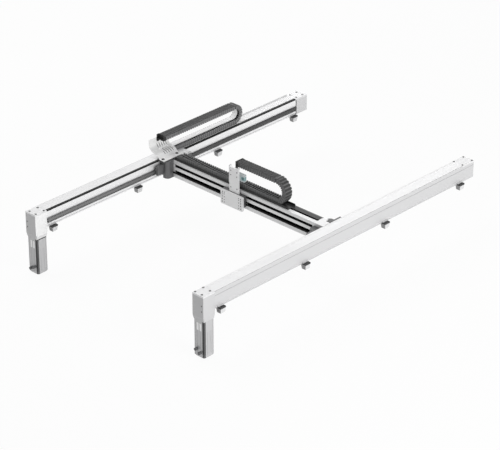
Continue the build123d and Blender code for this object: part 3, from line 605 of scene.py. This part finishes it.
# Cable chute: near-white bent sheet with five slits down its slope, screwed to the lid of slide a
# by two dark screws. Its slope is painted in shade, and dark bands along the slits, reaching beyond
# their cut ends, stand for the shade seen through them.
sheet_white, sheet_shader, start = finish("sheet_white", 0.4, 0.0, 0.2)
chute_low, chute_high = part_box("cable_chute")
slit_centre = (cross_low.x + cross_high.x) / 2 - 0.009
slit_pitch = 0.017
slit_half = 0.0024
slit_first, slit_last = 0.050, 0.1215
slope_first, slope_last = 0.037, 0.118
sheet_tint = start.grain((300, 300, 300)).tint((0.80, 0.80, 0.795), (0.86, 0.86, 0.855))
x, y, _ = start.place()
# Painted shade: the slope is darker, and dark bands along the slits, beyond their cut ends, stand for the
# shade seen through them.
slope_shade = (y > chute_low.y + slope_first) * (y < chute_low.y + slope_last)
slit_shade = 0
for step in (-2, -1, 0, 1, 2):
    slit_shade = slit_shade + x.near(slit_centre + step * slit_pitch, slit_half)
slit_shade = slit_shade * (y > chute_low.y + slit_first) * (y < chute_low.y + slit_last)
sheet_tint = slope_shade.tint(sheet_tint, (0.74, 0.74, 0.74))
feed(sheet_shader, "Base Color", slit_shade.tint(sheet_tint, (0.16, 0.16, 0.16)))
dress(sheet_white, "cable_chute")
sheet_thickness = 0.0015
chute_head_radius, chute_head_rise = 0.0095, 0.0025
screw_inset_x, screw_inset_y = 0.0195, 0.027
chute_screw_places = [(x, chute_low.y + screw_inset_y, chute_low.z + sheet_thickness)
                      for x in (chute_low.x + screw_inset_x, chute_high.x - screw_inset_x)]
chute_screws = screw_heads("chute_screws", chute_head_radius, chute_head_rise, "z", chute_screw_places)
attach(chute_screws, "crossbeam")


# Trays and brackets of the cable chains: light sheet along beam a, black sheet with lips on the
# cross-beam, and black angles that hold the chains' moving ends.
tray_light, tray_shader, start = finish("tray_light", 0.4, 0.2)
tray_tint = start.grain((200, 200, 200)).tint((0.66, 0.66, 0.665), (0.74, 0.74, 0.745))
feed(tray_shader, "Base Color", tray_tint)
tray_black, black_shader, start = finish("tray_black", 0.45, 0.1)
black_shader.inputs["Specular IOR Level"].default_value = 0.25
black_tint = start.grain((200, 200, 200)).tint((0.022, 0.022, 0.022), (0.040, 0.040, 0.040))
feed(black_shader, "Base Color", black_tint)
dress(tray_light, "chain_x_tray")
dress(tray_black, "chain_y_tray", "chain_x_bracket", "chain_y_bracket")


# Cable chains: moulded black links. Each link is a trough of two side plates and an outer bar,
# wide at the rear and narrow at the front, where it sits inside the next link. The outer bars are
# painted darker, as the shade in the gaps between them, and the chain on beam a is painted lighter,
# as lit. A flat pale cable lies in the chain on beam a.
chain_plastic, chain_shader, start = finish("chain_plastic", 0.5)
beam_a_edge = 0.6
# Painted light: the chain on beam a is lighter, as lit.
lit_far_chain = (start.place()[1] > beam_a_edge).tint((0.130, 0.130, 0.131), (0.200, 0.200, 0.202))
chain_tint = start.grain((250, 250, 250)).tint(lit_far_chain, (0.120, 0.120, 0.122))
feed(chain_shader, "Base Color", chain_tint)
# The outer bars' darker material is partly painted shade for the gaps between links.
shaded_bar_plastic, bar_shader, start = finish("chain_bar_plastic", 0.6)
bar_shader.inputs["Specular IOR Level"].default_value = 0.3
bar_tint = start.grain((250, 250, 250)).tint((0.026, 0.026, 0.026), (0.050, 0.050, 0.050))
feed(bar_shader, "Base Color", bar_tint)
link_pitch = 0.017
plate_wall = 0.0028
link_bevel = 0.0022
overlap = 0.12
narrow_wall = plate_wall * 0.8
bar_reach = (-0.1, 0.14)
bar_levels = (0.0006, 0.0030)
section_points = 12


def trough(half_width, half_height, wall):
    """Section of a trough open at the bottom: an outer path, then the inner path back."""
    w, h, bevel = half_width, half_height, link_bevel
    outer = [(-w, -h), (-w, h - bevel), (-w + bevel, h), (w - bevel, h), (w, h - bevel), (w, -h)]
    w, h, bevel = half_width - wall, half_height - wall, link_bevel / 2
    inner = [(w, -half_height), (w, h - bevel), (w - bevel, h), (-w + bevel, h), (-w, h - bevel),
             (-w, -half_height)]
    return np.array(outer + inner)


def link_shape(pitch, width, height):
    """One link along X, centred, open to -Z: wide and narrow troughs joined by a short step."""
    wide = trough(width / 2, height / 2, plate_wall)
    narrow = trough(width / 2 - plate_wall, height / 2 - plate_wall, narrow_wall)
    stations = [(-0.5, wide), (overlap, wide), (overlap, narrow), (0.5 + overlap, narrow)]
    rows = [np.column_stack([np.full(section_points, share * pitch), section])
            for share, section in stations]
    points = np.concatenate(rows)
    faces = ring_faces(len(stations), section_points)
    bar_x = np.array(bar_reach) * pitch
    bar_z = np.array(bar_levels) - height / 2
    corners = [(bar_x[0], bar_z[0]), (bar_x[0], bar_z[1]), (bar_x[1], bar_z[1]), (bar_x[1], bar_z[0])]
    bar = [(x, side * (width / 2 - plate_wall), z) for side in (-1, 1) for x, z in corners]
    return np.concatenate([points, bar]), np.concatenate([faces, ring_faces(2, 4) + len(points)])


def dark_bars(run, links):
    """Gives the outer bars of a run their darker material, which also stands for the shade in the
    gaps between links: the top of each link's wide trough.
    """
    face = np.arange(len(link_shape(link_pitch, 1.0, 1.0)[1]))
    bars = (face > 0) & (face < 4)
    run.data.materials.append(shaded_bar_plastic)
    run.data.polygons.foreach_set("material_index", np.tile(bars.astype(int), links))


def along(axis):
    """Turn that takes the chain's own X to the way that the chain reaches: +X, or -Y."""
    return np.eye(3) if axis == "x" else np.array([(0, 1, 0), (-1, 0, 0), (0, 0, 1)], float)


def chain_point(axis, reach, middle, level):
    """The point on a chain's middle line at this reach, the coordinate along the chain's axis."""
    return (reach, middle, level) if axis == "x" else (middle, reach, level)


def straight_run(axis, start, reach, middle, level, width, height, upside_down):
    """Links from start, one pitch apart, along the chain's own X; upside_down turns them about it."""
    count = max(1, round(reach / link_pitch))
    pitch = reach / count
    points, faces = link_shape(pitch, width, height)
    flip = np.diag((1.0, -1.0, -1.0)) if upside_down else np.eye(3)
    own = np.stack([(np.arange(count) + 0.5) * pitch, np.zeros(count), np.zeros(count)], axis=-1)
    turn = along(axis)
    places = own @ turn.T + chain_point(axis, start, middle, level)
    return repeated(points, faces, places, np.repeat((turn @ flip)[None], count, axis=0))


def bend_run(axis, centre, middle, level, radius, width, height):
    """Links round a half turn: each is turned by its angle and set out by the bend's radius."""
    count = round(np.pi * radius / link_pitch)
    angle = -np.pi / 2 + (np.arange(count) + 0.5) * np.pi / count
    points, faces = link_shape(np.pi * radius / count, width, height)
    points = points * np.stack([1 + points[:, 2] / radius, *np.ones((2, len(points)))], axis=-1)
    out = np.stack([np.cos(angle), np.zeros(count), np.sin(angle)], axis=-1)
    ahead = np.stack([-np.sin(angle), np.zeros(count), np.cos(angle)], axis=-1)
    side = np.cross(out, ahead)
    turns = np.stack([ahead, side, out], axis=-1)
    turn = along(axis)
    hub = chain_point(axis, centre, middle, level)
    return repeated(points, faces, (out * radius) @ turn.T + hub, turn @ turns)


cable_grey, cable_shader, start = finish("cable_grey", 0.5)
cable_tint = start.grain((200, 200, 200)).tint((0.88, 0.88, 0.88), (0.94, 0.94, 0.94))
feed(cable_shader, "Base Color", cable_tint)
ribbon_half = 0.0172
ribbon_thickness = 0.004
ribbon_offset = 0.0088
ribbon_sink = 0.0004
ribbon_stations = 90
ribbon_bend_stations = 25


def ribbon(x, z, out_x, out_z, middle):
    """Flat cable with rounded edges: an eight-sided ring at each x and z of the path, square to it."""
    edge = ribbon_thickness / 2
    flat, side = 0.93, 0.4
    across = ribbon_offset + np.array([1, 1, flat, -flat, -1, -1, -flat, flat]) * ribbon_half
    out = np.array([-side, side, 1, 1, side, -side, -1, -1]) * edge
    ring = np.stack([x[:, None] + out_x[:, None] * out, middle + across + 0 * x[:, None],
                     z[:, None] + out_z[:, None] * out], axis=-1)
    return ring.reshape(-1, 3), ring_faces(len(x), 8)


def cable_chain(axis, slack):
    """Both runs and the bend of one chain. Ends for blending each run, slack further out than its outer
    end and than that end's mirror image beyond the bend, are worked out but not used."""
    stem = f"chain_{axis}"
    lower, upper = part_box(f"{stem}_lower_run"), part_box(f"{stem}_upper_run")
    i, j = (0, 1) if axis == "x" else (1, 0)
    middle = (lower[0][j] + lower[1][j]) / 2
    width = lower[1][j] - lower[0][j]
    height = lower[1].z - lower[0].z
    low_level, high_level = (lower[0].z + lower[1].z) / 2, (upper[0].z + upper[1].z) / 2
    bend, fixed = (lower[1][i], lower[0][i]) if axis == "x" else (lower[0][i], lower[1][i])
    moving = upper[0][i] if axis == "x" else upper[1][i]
    body = f"body_{stem}_bend"
    runs = (("lower", fixed, low_level, True), ("upper", moving, high_level, False))
    for name, start, level, upside_down in runs:
        shape = straight_run(axis, start, abs(bend - start), middle, level, width, height, upside_down)
        run = add_piece(f"{stem}_links_{name}", *shape, chain_plastic, "chain")
        dark_bars(run, max(1, round(abs(bend - start) / link_pitch)))
        away = np.sign(bend - start)
        near, far = start - away * slack, 2 * bend - start + away * slack
        first, last = (near, far) if name == "lower" else (far, near)
        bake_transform(run)
        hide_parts(f"{stem}_{name}_run")
        if axis == "x":
            path = np.linspace(start, bend, ribbon_stations)
            inner = level + (1 if upside_down else -1) * (height / 2 - ribbon_sink)
            shape = ribbon(path, np.full_like(path, inner), np.zeros_like(path), np.ones_like(path), middle)
            cables = add_piece(f"{stem}_cables_{name}", *shape, cable_grey, "chain", smooth=True)
            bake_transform(cables)
    radius = (high_level - low_level) / 2
    centre_z = (low_level + high_level) / 2
    shape = bend_run(axis, bend, middle, centre_z, radius, width, height)
    turn = add_piece(f"{stem}_links_bend", *shape, chain_plastic, "chain")
    dark_bars(turn, round(np.pi * radius / link_pitch))
    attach(turn, body)
    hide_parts(f"{stem}_bend")
    if axis == "x":
        inner = radius - height / 2 + ribbon_sink
        angle = np.linspace(-np.pi / 2, np.pi / 2, ribbon_bend_stations)
        out_x, out_z = np.cos(angle), np.sin(angle)
        shape = ribbon(bend + inner * out_x, centre_z + inner * out_z, out_x, out_z, middle)
        cables = add_piece(f"{stem}_cables_bend", *shape, cable_grey, "chain", smooth=True)
        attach(cables, body)


cable_chain("x", slack=0.15)
cable_chain("y", slack=0.10)


# Tool carriage: clear anodised plates with tapped holes and dark screws, a sheet channel up their
# back and a grey-green plug housing beside it.
plate_metal = metal("plate_anodised", (0.74, 0.74, 0.745), (0.82, 0.82, 0.825), 0.42, 0.3,
                    (400, 20, 400))
duct_metal = metal("duct_sheet", (0.64, 0.64, 0.645), (0.72, 0.72, 0.725), 0.4, 0.3,
                   (300, 300, 20))
dress(plate_metal, "tool_plate", "post_plate", "cover_strip")
dress(duct_metal, "cable_duct")
plug_green, green_shader, start = finish("plug_green", 0.5)
plug_low, plug_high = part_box("signal_connector")
plug_tint = start.grain((300, 300, 300)).tint((0.48, 0.53, 0.535), (0.60, 0.65, 0.655))
teal_level = plug_low.z * 0.55 + plug_high.z * 0.45
teal_half = 0.012
_, y, z = start.place()
teal = z.near(teal_level, teal_half) * (y < (plug_low.y + plug_high.y) / 2)
feed(green_shader, "Base Color", teal.tint(plug_tint, (0.26, 0.40, 0.41)))
dress(plug_green, "signal_connector")
post_low, post_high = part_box("post_plate")
post_screw_inset = 0.013
post_screw_levels = (0.028, 0.106, 0.134)
post_places = [(post_low.x, y, post_low.z + level)
               for y in (post_low.y + post_screw_inset, post_high.y - post_screw_inset)
               for level in post_screw_levels]
small_head_sink = 0.0008
post_head_radius = 0.0035
tool_head_radius = 0.0030
post_screws = screw_heads("post_screws", post_head_radius, -small_head_sink, "x", post_places)
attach(post_screws, "carriage")
tool_low, tool_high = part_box("tool_plate")
outer_inset, inner_inset = 0.014, 0.030
tool_columns = (tool_low.y + outer_inset, tool_low.y + inner_inset,
                tool_high.y - inner_inset, tool_high.y - outer_inset)
tool_screw_levels = (0.014, 0.030, 0.048, 0.066, 0.078)
tool_places = [(tool_low.x, y, tool_low.z + level) for y in tool_columns for level in tool_screw_levels]
tool_screws = screw_heads("tool_screws", tool_head_radius, -small_head_sink, "x", tool_places)
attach(tool_screws, "carriage")


# Studio: a pale floor under the motors and soft lamps from the left, above and behind. The camera
# and the metal see a white surround, and the floor keeps a soft shadow.
floor_gap = 0.002
floor_level = size_loaded[0].z - floor_gap
floor_mesh = bpy.data.meshes.new("floor")
floor_reach = 30.0
floor_corners = [(to_x * floor_reach, to_y * floor_reach, floor_level)
                 for to_x, to_y in ((-1, -1), (1, -1), (1, 1), (-1, 1))]
floor_mesh.from_pydata(floor_corners, [], [(0, 1, 2, 3)])
floor = bpy.data.objects.new("floor", floor_mesh)
bpy.context.scene.collection.objects.link(floor)
floor_finish, floor_shader, start = finish("floor_white", 0.9)
floor_shader.inputs["Base Color"].default_value = (0.85, 0.85, 0.85, 1)
path = start.add("ShaderNodeLightPath", output="Is Camera Ray")
glossy = start.add("ShaderNodeLightPath", output="Is Glossy Ray")
white = start.add("ShaderNodeEmission", None, {"Color": (1, 1, 1, 1), "Strength": 1.0})
white_share = 0.93
overlay(start, floor_shader, path.math("MAXIMUM", path, glossy) * white_share, white)
floor_mesh.materials.append(floor_finish)

world = bpy.data.worlds.new("studio")
bpy.context.scene.world = world
world.use_nodes = True
air = Socket(world.node_tree)
seen = air.add("ShaderNodeLightPath", output="Is Camera Ray")
mirror = air.add("ShaderNodeLightPath", output="Is Glossy Ray")
soft = air.add("ShaderNodeBackground", None, {"Color": (1, 1, 1, 1), "Strength": 0.40})
bright = air.add("ShaderNodeBackground", None, {"Color": (1, 1, 1, 1), "Strength": 1.0})
sky = air.add("ShaderNodeMixShader", None, {0: seen.math("MAXIMUM", seen, mirror), 1: soft, 2: bright})
world.node_tree.links.new(sky.output, world.node_tree.nodes["World Output"].inputs["Surface"])


def softbox(name, place, target, size, power):
    """A square area lamp that faces its target."""
    lamp = bpy.data.lights.new(name, "AREA")
    lamp.size = size
    lamp.energy = power
    box = bpy.data.objects.new(name, lamp)
    box.location = place
    box.rotation_mode = "QUATERNION"
    box.rotation_quaternion = (Vector(target) - Vector(place)).to_track_quat("-Z", "Y")
    bpy.context.scene.collection.objects.link(box)


softbox("key", (-0.2, -7.0, 2.0), (0, 0, 0), 4.0, 345)
softbox("top", (-0.5, 3.2, 5.0), (0, 0.3, 0), 4.0, 130)
softbox("rim", (6.0, 4.5, 3.0), (0, 0, 0), 3.0, 60)
